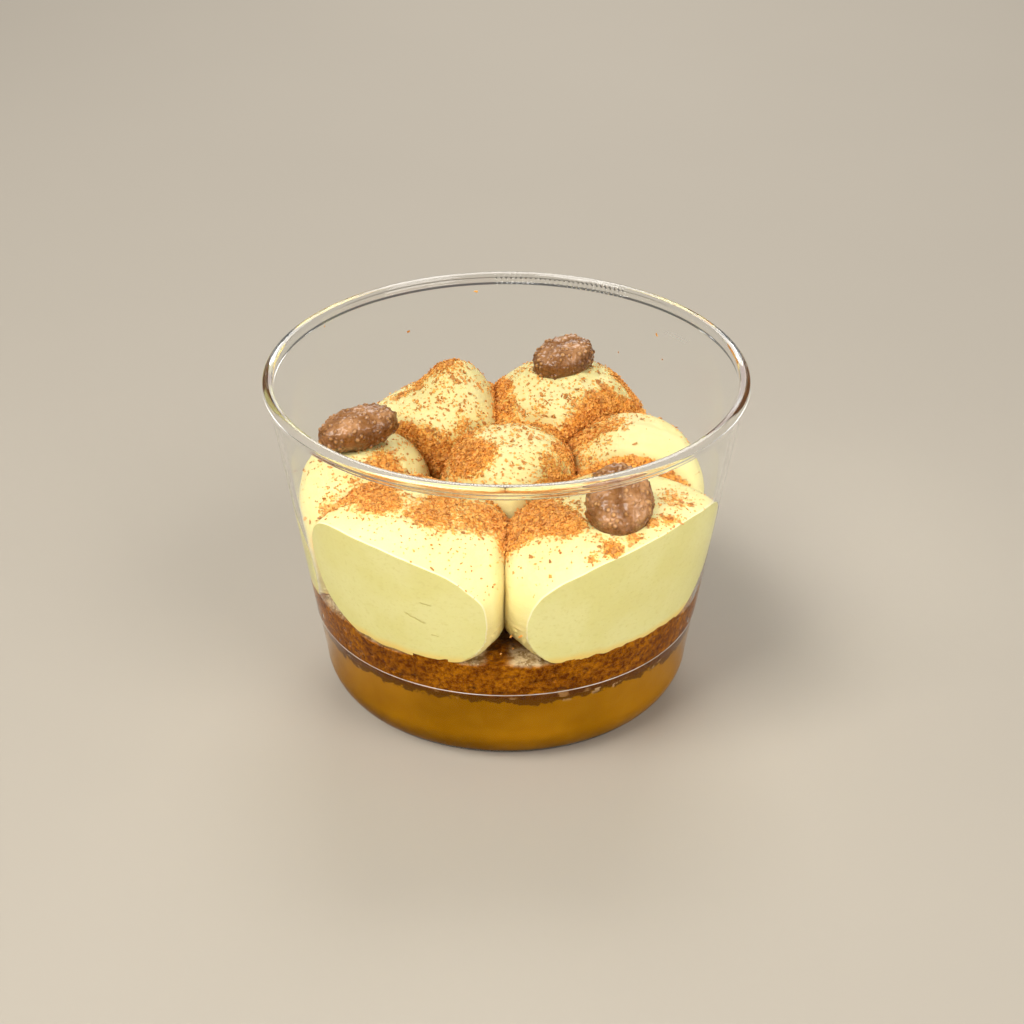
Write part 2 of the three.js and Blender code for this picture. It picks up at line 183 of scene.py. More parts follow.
# Where grated chocolate lies thick, seen from above: x, y, radius, share covered
DUST_PATCHES = [
    # thin dust spread over the centre, right, back and left dollops, and the upper fronts
    (1, 0, 13, 0.22), (18, 8, 9, 0.18), (13, 22, 13, 0.17), (-14, 21, 14, 0.17), (-27, 2, 10, 0.15),
    (-14, -20, 12, 0.12), (10, -22, 10, 0.14),
    # front left dollop
    (-25.5, -16, 4.5, 1), (-24, -22, 4.8, 1), (-28, -13, 3, 0.8), (-12, -23.5, 6, 0.55),
    (-3.8, -19.8, 4, 0.85), (-5.6, -26, 3.5, 0.6), (-12, -18, 4, 0.6), (-15.6, -25.3, 3.5, 0.5),
    (-34.7, -12.5, 2.5, 0.5), (-14, -27, 4, 0.35), (-30, -17, 3.5, 0.85), (-33.5, -15.5, 2.4, 0.6),
    # valley between the front dollops
    (-0.5, -20.5, 2.6, 1), (-0.5, -24.5, 2.4, 1), (-0.3, -28, 1.8, 0.9),
    # front right dollop, round its bean and along its flat face
    (8.9, -24.4, 5, 1), (3.5, -20.7, 4, 0.95), (2.5, -27, 3, 0.8), (12.5, -28, 3, 0.8),
    (7, -18, 3.5, 0.9), (5.3, -14.5, 3, 0.5), (32, -20, 4, 0.5), (27, -28.5, 1.8, 0.85),
    (30.5, -27, 1.8, 0.8), (19.8, -35.3, 2.2, 0.95), (16, -37, 1.5, 0.6), (23.5, -32.5, 1.8, 0.7),
    (18, -32, 2, 0.4),
    # centre dollop
    (-5.6, -5.3, 4, 1), (-8.4, -3.5, 4, 0.9), (-9.5, 3, 4, 0.7), (-10, 8, 3, 0.6),
    (9, 5.6, 3, 0.6), (11.6, -1.6, 3, 0.8), (9, -7, 3, 0.6), (3, 8, 4, 0.35),
    # valleys round the centre dollop
    (-16.5, 10, 2.2, 0.6), (-13, 8.5, 2.4, 0.6), (-9, 12, 2.2, 0.4), (-4.5, 13.2, 2.2, 0.4),
    (0.7, 13.8, 2.4, 0.6), (6.5, 12.5, 2.4, 0.35), (12, 8, 2.6, 0.5),
    # left dollop
    (-24, -4, 4, 0.75), (-31, -9, 3, 0.35), (-22, -8, 4, 0.45), (-26, -12, 2.2, 0.95),
    # back left dollop's ridge and the slope below it
    (-13.5, 22.6, 2.6, 0.6), (-17.5, 22.9, 2.6, 0.6), (-22, 22.8, 1.8, 0.55), (-10.3, 21.4, 2.2, 0.45),
    (-12.5, 18.5, 3.4, 0.3),
    # valley at the back, and the back right dollop
    (-1.5, 25, 2, 1), (-0.5, 21, 2.2, 0.95), (0.3, 17, 2, 0.8), (-2.4, 29, 2, 0.9),
    (14, 13.4, 2.2, 0.35), (23.5, 26.5, 2.6, 0.9), (26.3, 24, 2, 0.95),
    (27.8, 20.5, 1.8, 0.8),
    # right dollop
    (15, 7, 4, 0.6), (21, 7.5, 4, 0.55), (16.5, -0.8, 3.4, 0.45), (18.5, 14, 2.6, 0.95),
    (21, 17.5, 2.2, 0.9),
]
DUST_EVERYWHERE = 0.085
# Chocolate gathers in the creases above these heights, and behind these y
GATHERING_HEIGHT = (38, 42)
GATHERING_Y = (-33, -27)
# How far off a bean it lies, with the bean's surface at 1
DUST_OFF_BEAN = 1.05
# The middle and radius of the smooth part of the right dollop, which has hardly any
BARE_SPOT = (30.5, 3, 7)
GRAIN_COUNT = 22500
GRAIN_SIZE = (0.2, 0.95)
GRAIN_THICKNESS = (0.12, 0.3)
GRAIN_SEED = 5
SHAVING_COUNT = 1500
SHAVING_SIZE = (0.6, 1.8)
SHAVING_THICKNESS = 0.16
SHAVING_STEPS = 4
SHAVING_SEED = 6
# Crumbs stuck to the inside of the wall: azimuth in degrees, height, length
WALL_CRUMBS = [
    (98.2, 64.8, 0.8), (118, 58.2, 0.6), (145.3, 65.6, 0.5), (45.4, 60.8, 0.8), (42, 56.4, 0.45),
    (57, 54.5, 0.4), (-88.9, 32.7, 0.8), (-86.4, 32.6, 1), (-91.5, 28.4, 0.5), (-88.2, 29.8, 0.4),
    (-149, 45, 0.5),
]
# Where grated chocolate is smeared down the wall: azimuth, lowest and highest point, half width, share
SMEARS = [(-158, 38, 45, 1.7, 0.95), (-156, 46, 53, 2.4, 0.55), (-9, 44, 50, 1.6, 0.5)]

# Clear pockets between sponge and wall: azimuth, height, half width in degrees, half height
WET_POCKETS = [
    (-150, 27.2, 8, 1.5), (-128, 25.3, 9, 0.7), (-101, 26.1, 5, 0.9),
    (-82, 26.1, 7.5, 1.2), (-67.5, 26.2, 3, 0.7), (-24, 26.2, 8, 1.7),
    (30, 25.9, 8, 1), (92, 26.2, 6, 1.3), (150, 25.9, 7, 0.9),
]
# Where the wet sponge climbs the wall: azimuth, half width in degrees, rise
CLIMBS = [(-150, 7, 2.2), (-24, 6, 1)]

# Marks: azimuth in degrees, height, turn in degrees, half length and half width
FACE_SCRATCHES = [(-111.5, 38.8, -6, 1.3, 0.2), (-115.1, 34.8, -19, 2.6, 0.26), (-109.6, 31.5, -8, 0.9, 0.17)]
WALL_SCRATCH = (39, 61.9, 0, 4, 0.16)
# The cup's radius where those marks are
SCRATCHED_FACE_RADIUS = 40.3
SCRATCHED_WALL_RADIUS = 44.7
# Stacking ribs inside the rim: first and last azimuth in degrees, lowest and highest point, ribs in a turn
RIBS = (58, 93, 64.8, 67.4, 275)


def smooth_step(value, low, high):
    share = np.clip((value - low) / (high - low), 0, 1)
    return share * share * (3 - 2 * share)


def smooth_min(a, b, rounding):
    """The lower of a and b, with the crease between them rounded."""
    h = np.clip(0.5 + 0.5 * (b - a) / rounding, 0, 1)
    return b * (1 - h) + a * h - rounding * h * (1 - h)


def lumps(points, spacing, seed):
    """Smooth noise from -1 to 1, with lumps about as far apart as spacing."""
    shift = Vector((seed * 17.3, seed * 5.1, seed * 9.7))
    return np.array([noise.noise(Vector(point) / spacing + shift) for point in points])


def unit(vectors):
    return vectors / np.linalg.norm(vectors, axis=-1, keepdims=True)


def axis_distance(points):
    return np.hypot(points[:, 0], points[:, 1])


def turn_from(points, azimuth):
    """The turn in degrees, from -180 to 180, from an azimuth to points."""
    return (np.degrees(np.arctan2(points[:, 1], points[:, 0])) - azimuth + 180) % 360 - 180


def level_directions(angle):
    """Level unit vectors at angles in radians."""
    return np.stack([np.cos(angle), np.sin(angle), np.zeros(len(angle))], axis=1)


def face_crosses(corners):
    """For each triangle, its normal with twice its area as length."""
    return np.cross(corners[:, 1] - corners[:, 0], corners[:, 2] - corners[:, 0])


def outer_radius(height):
    slope = np.where(np.asarray(height) > LINE_HEIGHT, WALL_SLOPE, FOOT_SLOPE)
    return LINE_RADIUS + slope * (height - LINE_HEIGHT)


def inner_radius(height):
    return outer_radius(height) - WALL_THICKNESS


def add_object(name, data):
    thing = bpy.data.objects.new(name, data)
    bpy.context.scene.collection.objects.link(thing)
    return thing


def make_piece(name, points, faces, material, node=None, sharp_angle=180, attributes=None):
    """A mesh piece from points in millimetres, smooth but for creases over sharp_angle."""
    mesh = bpy.data.meshes.new(name)
    faces = faces if isinstance(faces, list) else faces.tolist()
    mesh.from_pydata((np.asarray(points, float) * MM).tolist(), [], faces)
    mesh.shade_smooth()
    if sharp_angle < 180:
        mesh.set_sharp_from_angle(angle=math.radians(sharp_angle))
    for attribute, values in (attributes or {}).items():
        layer = mesh.attributes.new(attribute, "FLOAT", "POINT")
        layer.data.foreach_set("value", np.asarray(values, np.float32))
    mesh.materials.append(material)
    piece = add_object(name, mesh)
    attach(piece, "root")
    if node:
        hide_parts(node)
    return piece


def ball(cuts):
    """Points on a unit sphere, spread evenly, and its triangles, from a cube blown up."""
    bm = bmesh.new()
    bmesh.ops.create_cube(bm, size=2)
    bmesh.ops.subdivide_edges(bm, edges=bm.edges[:], cuts=cuts, use_grid_fill=True)
    bmesh.ops.triangulate(bm, faces=bm.faces[:])
    points = np.array([vertex.co for vertex in bm.verts])
    faces = np.array([[vertex.index for vertex in face.verts] for face in bm.faces])
    bm.free()
    return unit(np.tan(points * (math.pi / 4))), faces


def lathe(profile, segments):
    """Points and quads of a closed profile of (radius, height) turned about Z.

    The profile starts and ends on the axis, and each end is one point.
    """
    ring = np.array(profile[1:-1], float)
    turns = np.linspace(0, 2 * math.pi, segments, endpoint=False)
    radius = ring[:, :1]
    height = np.repeat(ring[:, 1:], segments, axis=1)
    rings = np.stack([radius * np.cos(turns), radius * np.sin(turns), height], axis=-1)
    points = np.vstack([rings.reshape(-1, 3), [[0, 0, profile[0][1]]], [[0, 0, profile[-1][1]]]])
    column = np.arange(segments)
    beside = (column + 1) % segments
    faces = []
    for row in range(len(ring) - 1):
        low = row * segments
        high = low + segments
        faces += np.stack([low + column, low + beside, high + beside, high + column], axis=1).tolist()
    first = len(ring) * segments
    last_row = first - segments
    faces += np.stack([np.full(segments, first), beside, column], axis=1).tolist()
    faces += np.stack([last_row + column, last_row + beside, np.full(segments, first + 1)], axis=1).tolist()
    return points, faces


class Shader:
    """A material's node tree, with short ways to add and join nodes."""

    def __init__(self, name):
        self.material = bpy.data.materials.new(name)
        self.material.use_nodes = True
        self.tree = self.material.node_tree
        self.tree.nodes.clear()
        self.place = self.node("TexCoord", {}, "Object")

    def node(self, kind, inputs, output=0, **settings):
        """One output of a new node, if it has any. Inputs are values or other nodes' outputs."""
        node = self.tree.nodes.new("ShaderNode" + kind)
        for name, value in settings.items():
            setattr(node, name, value)
        for socket, value in inputs.items():
            if isinstance(value, bpy.types.NodeSocket):
                self.tree.links.new(value, node.inputs[socket])
            else:
                node.inputs[socket].default_value = value
        return None if output is None else node.outputs[output]

    def attribute(self, name):
        return self.node("Attribute", {}, "Fac", attribute_name=name)

    def math(self, operation, a, b=0.0):
        return self.node("Math", {0: a, 1: b}, operation=operation)

    def plus(self, a, b):
        return self.math("ADD", a, b)

    def minus(self, a, b):
        return self.math("SUBTRACT", a, b)

    def times(self, a, b):
        return self.math("MULTIPLY", a, b)

    def span(self, value, low, high, to_low=0.0, to_high=1.0):
        """value between low and high brought to to_low and to_high, smoothly."""
        inputs = {"Value": value, "From Min": low, "From Max": high, "To Min": to_low, "To Max": to_high}
        return self.node("MapRange", inputs, interpolation_type="SMOOTHSTEP")

    def band(self, value, rise_from, rise_to, fall_from, fall_to):
        """1 between rise_to and fall_from, and 0 before rise_from and after fall_to."""
        rising = self.span(value, rise_from, rise_to)
        return self.times(rising, self.span(value, fall_from, fall_to, 1.0, 0.0))

    def stretched(self, factors):
        """The place with each axis scaled, which draws a pattern out along the least scaled."""
        return self.node("VectorMath", {0: self.place, 1: factors}, operation="MULTIPLY")

    def noise(self, scale, detail=4.0, roughness=0.55, place=None):
        """Noise from 0 to 1, with scale in lumps for each millimetre."""
        inputs = {"Vector": place or self.place, "Scale": scale / MM}
        inputs |= {"Detail": detail, "Roughness": roughness}
        return self.node("TexNoise", inputs, "Fac")

    def patches(self, scale, low, high, to_low=0.0, to_high=1.0, **texture):
        """Noise from low to high brought to to_low and to_high."""
        return self.span(self.noise(scale, **texture), low, high, to_low, to_high)

    def cells(self, scale, place=None):
        """How far it is to the middle of the nearest cell, with scale in cells for each millimetre."""
        return self.node("TexVoronoi", {"Vector": place or self.place, "Scale": scale / MM}, "Distance")

    def wall_place(self):
        """The angle round the cup in radians, and the height in millimetres."""
        x, y, z = (self.node("SeparateXYZ", {0: self.place}, axis) for axis in "XYZ")
        return self.math("ARCTAN2", y, x), self.math("DIVIDE", z, MM)

    def stroke(self, mark, radius):
        """A straight mark on the wall: 1 along its middle and 0 beyond it."""
        azimuth, height, turn, half_length, half_width = mark
        angle, level = self.wall_place()
        u = self.times(self.minus(angle, math.radians(azimuth)), radius)
        v = self.minus(level, height)
        cosine, sine = math.cos(math.radians(turn)), math.sin(math.radians(turn))
        along = self.plus(self.times(u, cosine), self.times(v, sine))
        across = self.minus(self.times(v, cosine), self.times(u, sine))
        across = self.plus(across, self.patches(0.8, 0.3, 0.7, -0.5 * half_width, 0.5 * half_width))
        near = self.span(self.math("ABSOLUTE", across), 0.3 * half_width, half_width, 1.0, 0.0)
        within = self.span(self.math("ABSOLUTE", along), 0.6 * half_length, half_length, 1.0, 0.0)
        return self.times(near, within)

    def mix(self, share, a, b):
        """Colour a with a share of colour b."""
        a, b = (tone if isinstance(tone, bpy.types.NodeSocket) else (*tone, 1) for tone in (a, b))
        return self.node("Mix", {"Factor": share, 6: a, 7: b}, 2, data_type="RGBA")

    def tint(self, colour, share, strength, tone):
        """The colour with share times strength of the tone mixed in."""
        return self.mix(self.times(share, strength), colour, tone)

    def bump(self, height, strength, distance, **normal):
        """The normal, or the one given as Normal, bent by a height. distance is in millimetres."""
        inputs = {"Height": height, "Strength": strength, "Distance": distance * MM, **normal}
        return self.node("Bump", inputs)

    def principled(self, **sockets):
        """A Principled shader, its sockets set from names with _ for spaces."""
        inputs = {name.replace("_", " "): value for name, value in sockets.items()}
        return self.node("BsdfPrincipled", inputs)

    def finished(self, surface):
        """The material, with that surface."""
        self.node("OutputMaterial", {"Surface": surface}, None)
        return self.material

    def surface(self, **sockets):
        """The finished material, with one Principled shader."""
        return self.finished(self.principled(**sockets))


def clear_plastic(name, bending, gloss):
    """Clear plastic that lets lamps shine through onto what it holds.

    bending is how strongly it bends light, and gloss how strongly it mirrors.
    """
    shader = Shader(name)
    first, last, low, high, count = RIBS
    angle, height = shader.wall_place()
    edges = (first - 1, first + 1, last - 1, last + 1)
    sideways = shader.band(angle, *(math.radians(edge) for edge in edges))
    upwards = shader.band(height, low - 0.4, low, high, high + 0.4)
    ribs = shader.math("SINE", shader.times(angle, float(count)))
    ribs = shader.times(ribs, shader.times(sideways, upwards))
    scratch = shader.stroke(WALL_SCRATCH, SCRATCHED_WALL_RADIUS)
    normal = shader.bump(shader.noise(0.05, detail=2), 0.05, 1)
    normal = shader.bump(ribs, 0.5, 0.12, Normal=normal)
    plastic = shader.principled(
        Base_Color=(0.98, 0.985, 0.98, 1), Roughness=shader.span(scratch, 0, 1, 0.03, 0.6), IOR=bending,
        Transmission_Weight=1.0, Specular_IOR_Level=gloss, Normal=normal,
    )
    passing = shader.node("BsdfTransparent", {"Color": (0.93, 0.935, 0.93, 1)})
    shadow_ray = shader.node("LightPath", {}, "Is Shadow Ray")
    return shader.finished(shader.node("MixShader", {0: shadow_ray, 1: plastic, 2: passing}))


def ridge_plastic_painted_highlight():
    """Plastic for the mould's ridge, a little cloudy, and painted pale as the highlight the ridge catches."""
    shader = Shader("ridge plastic painted pale as a highlight")
    cloud = shader.patches(0.06, 0.4, 0.65, 0.2, 0.6)
    # the pale whitish base colour is a painted highlight along the ridge
    return shader.surface(
        Base_Color=(0.93, 0.88, 0.80, 1), Roughness=0.25, Transmission_Weight=cloud, Specular_IOR_Level=0.3,
    )


def cream():
    """Whipped mascarpone cream: satin, pitted, flat and yellower on the wall, cocoa on top, with painted
    shade low down and in the creases.
    """
    shader = Shader("mascarpone cream")
    wall_gap = shader.attribute("wall_gap")
    dust = shader.attribute("dust")
    _, height = shader.wall_place()
    body = shader.mix(shader.patches(0.12, 0.35, 0.7), (0.865, 0.765, 0.33), (0.875, 0.79, 0.38))
    # painted shade: the cream is darkened to a warm shade colour towards its foot and near the creases
    shaded = shader.math("MAXIMUM", shader.span(height, 30, 46, 0.9, 0), shader.attribute("crease"))
    body = shader.mix(shaded, body, (0.71, 0.575, 0.235))
    pressed = shader.mix(shader.patches(0.09, 0.35, 0.7), (0.69, 0.632, 0.25), (0.72, 0.67, 0.30))
    upright = shader.stretched((0.8, 0.8, 1.2))
    fine = shader.patches(1.3, 0.5, 0.72, 0, 0.4, detail=5, roughness=0.6, place=upright)
    pressed = shader.mix(fine, pressed, (0.60, 0.53, 0.19))
    on_wall = shader.span(wall_gap, 0, 0.16, 1, 0)
    outline = shader.band(wall_gap, 0.02, 0.16, 0.16, 0.5)
    pits = shader.span(shader.cells(0.8, place=shader.stretched((0.7, 0.7, 1.3))), 0, 0.14, 1, 0)
    pressed = shader.tint(pressed, pits, 0.7, (0.56, 0.46, 0.14))
    scratches = 0.0
    for mark in FACE_SCRATCHES:
        scratches = shader.math("MAXIMUM", scratches, shader.stroke(mark, SCRATCHED_FACE_RADIUS))
    scratches = shader.times(scratches, on_wall)
    pressed = shader.tint(pressed, scratches, 0.75, (0.50, 0.41, 0.11))
    colour = shader.mix(on_wall, body, pressed)
    colour = shader.tint(colour, outline, 0.5, (0.90, 0.87, 0.66))
    colour = shader.tint(colour, shader.attribute("soaked"), 0.75, (0.80, 0.50, 0.09))
    stain = shader.span(dust, 0.3, 0.85, 0, 0.5)
    colour = shader.tint(colour, stain, shader.patches(0.5, 0.3, 0.6), (0.95, 0.66, 0.18))
    speck = shader.noise(1.6, detail=7, roughness=0.72)
    edge = shader.minus(0.80, shader.times(dust, 0.50))
    dusty = shader.span(dust, 0.02, 0.12)
    halo = shader.times(shader.span(speck, shader.minus(edge, 0.07), edge), dusty)
    colour = shader.tint(colour, halo, 0.6, (0.95, 0.70, 0.16))
    covered = shader.times(shader.span(speck, edge, shader.plus(edge, 0.05)), dusty)
    mottle = shader.patches(2.4, 0.35, 0.65, detail=5)
    powder = shader.mix(mottle, (0.70, 0.26, 0.03), (0.96, 0.45, 0.085))
    colour = shader.mix(covered, colour, powder)
    smeared = shader.patches(0.6, 0.25, 0.6, 0.45, 1, detail=5)
    colour = shader.tint(colour, shader.attribute("smear"), smeared, (0.74, 0.33, 0.10))
    grain = shader.noise(1.6, detail=5)
    relief = shader.minus(shader.times(grain, 0.5), shader.times(pits, 0.6))
    relief = shader.plus(relief, shader.times(covered, 0.9))
    relief = shader.minus(relief, shader.times(scratches, 3))
    whipped = shader.noise(0.5, detail=5, roughness=0.6, place=shader.stretched((0.7, 0.7, 1.5)))
    whipped = shader.times(whipped, shader.minus(1, on_wall))
    relief = shader.plus(relief, shader.times(whipped, 3.5))
    return shader.surface(
        Base_Color=colour,
        Roughness=shader.span(covered, 0, 1, 0.45, 0.85),
        Normal=shader.bump(relief, 0.4, 0.16),
        Subsurface_Weight=0.15,
        Subsurface_Radius=(1.0, 0.75, 0.35),
        Subsurface_Scale=1.4 * MM,
        Specular_IOR_Level=0.2,
    )


def caramel():
    """Smooth coffee caramel cream, a little cloudy, darker where coffee seeped down its edge."""
    shader = Shader("coffee caramel")
    cloud = shader.patches(0.05, 0.35, 0.7, detail=3)
    colour = shader.mix(cloud, (0.255, 0.104, 0.001), (0.345, 0.145, 0.003))
    colour = shader.tint(colour, shader.patches(0.3, 0.4, 0.75), 0.2, (0.42, 0.20, 0.012))
    below = shader.attribute("below_edge")
    ragged = shader.patches(0.5, 0.3, 0.7, 0.4, 1.9, detail=6, roughness=0.65)
    seeped = shader.span(shader.minus(below, ragged), -0.35, 0.1, 1, 0)
    colour = shader.tint(colour, seeped, 0.9, (0.10, 0.035, 0.004))
    bubbles = shader.patches(0.35, 0.62, 0.68, detail=3)
    colour = shader.tint(colour, bubbles, shader.span(below, 0, 1.6, 0.7, 0), (0.62, 0.42, 0.20))
    return shader.surface(
        Base_Color=colour,
        Roughness=0.35,
        Normal=shader.bump(shader.noise(1.2), 0.15, 0.08),
        Specular_IOR_Level=0.0,
    )


def sponge():
    """Coffee-soaked sponge: dark, with golden crumb, and pale foam with painted glints in its wet pockets."""
    shader = Shader("soaked sponge")
    crumb = shader.noise(1, detail=8, roughness=0.68)
    cell = shader.cells(1.2)
    broad = shader.patches(0.14, 0.35, 0.68)
    dark = shader.mix(broad, (0.085, 0.017, 0.0003), (0.15, 0.034, 0.0005))
    golden = shader.mix(broad, (0.31, 0.096, 0.0008), (0.45, 0.165, 0.0025))
    colour = shader.mix(shader.span(crumb, 0.36, 0.68), dark, golden)
    colour = shader.mix(shader.span(cell, 0, 0.22, 0.5, 0), colour, (0.05, 0.012, 0.0005))
    spots = shader.patches(0.3, 0.56, 0.68, detail=3)
    edge = shader.tint((0.075, 0.022, 0.002), spots, 0.6, (0.46, 0.26, 0.09))
    colour = shader.tint(colour, shader.attribute("low"), 0.8, edge)
    froth = shader.patches(0.8, 0.4, 0.65, detail=6)
    foam = shader.mix(froth, (0.22, 0.13, 0.045), (0.58, 0.44, 0.25))
    # painted highlights: small bright spots on the foam stand in for glints of light
    painted_glints = shader.span(shader.cells(1.4), 0.1, 0.2, 1, 0)
    foam = shader.tint(foam, painted_glints, 0.8, (0.85, 0.72, 0.50))
    colour = shader.mix(shader.attribute("wet"), colour, foam)
    height = shader.minus(crumb, shader.span(cell, 0, 0.3, 0.6, 0))
    return shader.surface(
        Base_Color=colour,
        Roughness=shader.span(crumb, 0.4, 0.7, 0.35, 0.65),
        Normal=shader.bump(height, 0.6, 0.3),
        Specular_IOR_Level=0.05,
    )


def bean_chocolate():
    """Glossy milk chocolate, painted lit on top and shaded on its sides, over crisp nodules that show through
    as caramel.
    """
    shader = Shader("bean chocolate")
    tone = shader.patches(0.28, 0.35, 0.68)
    # painted light and shade: one chocolate in a shaded tone for the sides and a lit tone for the top, mixed
    # by upper
    side = shader.mix(tone, (0.11, 0.032, 0.002), (0.18, 0.062, 0.009))
    top = shader.mix(tone, (0.25, 0.098, 0.023), (0.57, 0.29, 0.125))
    colour = shader.mix(shader.attribute("upper"), side, top)
    fine = shader.patches(1.6, 0.35, 0.65, detail=6, roughness=0.65)
    colour = shader.tint(colour, fine, 0.25, (0.56, 0.27, 0.10))
    # painted shade in the crevices round the nodules and along the groove
    colour = shader.tint(colour, shader.attribute("crevice_shade"), 0.6, (0.11, 0.032, 0.004))
    colour = shader.tint(colour, shader.attribute("nodule"), 0.5, (0.78, 0.41, 0.13))
    return shader.surface(
        Base_Color=colour,
        Roughness=shader.patches(1.1, 0.35, 0.7, 0.26, 0.46),
        Normal=shader.bump(shader.noise(1.5, detail=6, roughness=0.65), 0.4, 0.16),
        Specular_IOR_Level=0.35,
        Coat_Weight=0.4,
        Coat_Roughness=0.1,
    )


def grated_chocolate(name, dark, light):
    """Matt grated chocolate, each grain in a tone of its own."""
    shader = Shader(name)
    shade = shader.plus(shader.attribute("tone"), shader.patches(2, 0.3, 0.7, -0.12, 0.12))
    return shader.surface(
        Base_Color=shader.mix(shader.span(shade, 0, 1), dark, light),
        Roughness=0.7,
        Normal=shader.bump(shader.noise(3), 0.4, 0.08),
    )


def floor_finish():
    """Pale matt studio floor."""
    shader = Shader("pale floor")
    cloud = shader.patches(0.004, 0.3, 0.7)
    darker = tuple(0.97 * channel for channel in FLOOR_COLOUR)
    return shader.surface(Base_Color=shader.mix(cloud, darker, FLOOR_COLOUR), Roughness=0.8)


def rounded(points):
    """An open outline with its corners cut twice, so that it curves."""
    line = np.array(points, float)
    for _ in range(2):
        near = line[:-1] * 0.75 + line[1:] * 0.25
        far = line[:-1] * 0.25 + line[1:] * 0.75
        middle = np.stack([near, far], axis=1).reshape(-1, 2)
        line = np.vstack([line[:1], middle[1:-1], line[-1:]])
    return [tuple(point) for point in line]


def base_fillet(inset):
    """The quarter turn from the flat base up into the wall, set in from the outside by inset."""
    middle = outer_radius(BASE_FILLET) - BASE_FILLET
    radius = BASE_FILLET - inset
    angles = np.linspace(0, math.pi / 2, FILLET_STEPS + 1)
    return [(middle + radius * math.sin(a), BASE_FILLET - radius * math.cos(a)) for a in angles]


def build_cup(wall_material, rim_material):
    rim_foot = CUP_HEIGHT - RIM_HEIGHT
    rim = [(RIM_RADIUS - inset, rim_foot + rise) for inset, rise in RIM_OUTLINE]
    rim = rounded([(outer_radius(rim_foot), rim_foot), *rim, (inner_radius(rim_foot), rim_foot)])
    line_foot = LINE_HEIGHT - 2 * LINE_STEP
    heights = np.linspace(LINE_HEIGHT + RING_MARGIN, rim_foot - RING_MARGIN, WALL_RINGS)
    profile = [
        (0, 0),
        *base_fillet(0),
        (outer_radius(line_foot) - LINE_STEP, line_foot),
        (outer_radius(LINE_HEIGHT), LINE_HEIGHT),
        *[(outer_radius(z), z) for z in heights],
        *rim,
        *[(inner_radius(z), z) for z in reversed(heights)],
        (inner_radius(LINE_HEIGHT), LINE_HEIGHT),
        (inner_radius(BASE_FILLET + RING_MARGIN), BASE_FILLET + RING_MARGIN),
        *reversed(base_fillet(WALL_THICKNESS)),
        (0, WALL_THICKNESS),
    ]
    points, faces = lathe(profile, CUP_SEGMENTS)
    cup = make_piece("clear_cup", points, faces, wall_material, "cup", sharp_angle=30)
    cup.data.materials.append(rim_material)
    in_rim = [min(points[corner, 2] for corner in face) > rim_foot - 0.01 for face in faces]
    cup.data.polygons.foreach_set("material_index", np.array(in_rim, np.int32))


def build_wall_line(material):
    """The fine ridge that the mould leaves round the wall."""
    turns = np.linspace(0, 2 * math.pi, CUP_SEGMENTS, endpoint=False)
    sides = np.linspace(0, 2 * math.pi, LINE_SIDES, endpoint=False)
    radius = outer_radius(LINE_HEIGHT) - LINE_WIDTH / 3 + LINE_WIDTH / 2 * np.cos(sides)
    height = np.tile(LINE_HEIGHT + LINE_WIDTH / 2 * np.sin(sides), (CUP_SEGMENTS, 1))
    rings = np.stack([np.outer(np.cos(turns), radius), np.outer(np.sin(turns), radius), height], axis=-1)
    ring, side = np.divmod(np.arange(CUP_SEGMENTS * LINE_SIDES), LINE_SIDES)
    ring *= LINE_SIDES
    next_ring = (ring + LINE_SIDES) % (CUP_SEGMENTS * LINE_SIDES)
    next_side = (side + 1) % LINE_SIDES
    faces = np.stack([ring + side, next_ring + side, next_ring + next_side, ring + next_side], axis=1)
    make_piece("wall_line", rings.reshape(-1, 3), faces, material)


def layer_wave(angle, reach):
    """How far the line between caramel and sponge rises, growing towards the wall."""
    return LAYER_WAVE * reach * (np.sin(3 * angle + 0.6) + 0.6 * np.sin(7 * angle + 2.1))


def keep_to_wall(points, on_side, reach):
    """Moves points on a layer's side out or in, to reach just into the wall at their height."""
    wanted = inner_radius(points[:, 2]) + reach
    share = np.where(on_side, wanted / np.maximum(axis_distance(points), 1), 1)
    points[:, :2] *= share[:, None]


def build_caramel(material):
    reach = WALL_THICKNESS - WALL_REACH
    side = [(inner_radius(z) + WALL_REACH, z) for z in np.linspace(BASE_FILLET, CARAMEL_TOP, 9)[1:]]
    edge = side[-1][0]
    profile = [(0, reach), *base_fillet(reach), *side, (edge * 0.7, CARAMEL_TOP), (0, CARAMEL_TOP)]
    points, faces = lathe(profile, LAYER_SEGMENTS)
    angle = np.arctan2(points[:, 1], points[:, 0])
    share = axis_distance(points) / LINE_RADIUS
    ring = level_directions(angle) * LINE_RADIUS
    ragged = 0.5 * lumps(ring, 4.0, 4) + 0.2 * lumps(ring, 1.8, 5)
    rise = layer_wave(angle, share) + ragged * share
    climb = smooth_step(points[:, 2], BASE_FILLET, CARAMEL_TOP)
    on_side = (climb > 0) & (axis_distance(points) > inner_radius(points[:, 2]) - SIDE_MARGIN)
    points[:, 2] += rise * climb
    keep_to_wall(points, on_side, WALL_REACH)
    below_edge = CARAMEL_TOP + rise - points[:, 2]
    make_piece(
        "coffee_caramel", points, faces, material, "caramel_layer", sharp_angle=50,
        attributes={"below_edge": below_edge},
    )


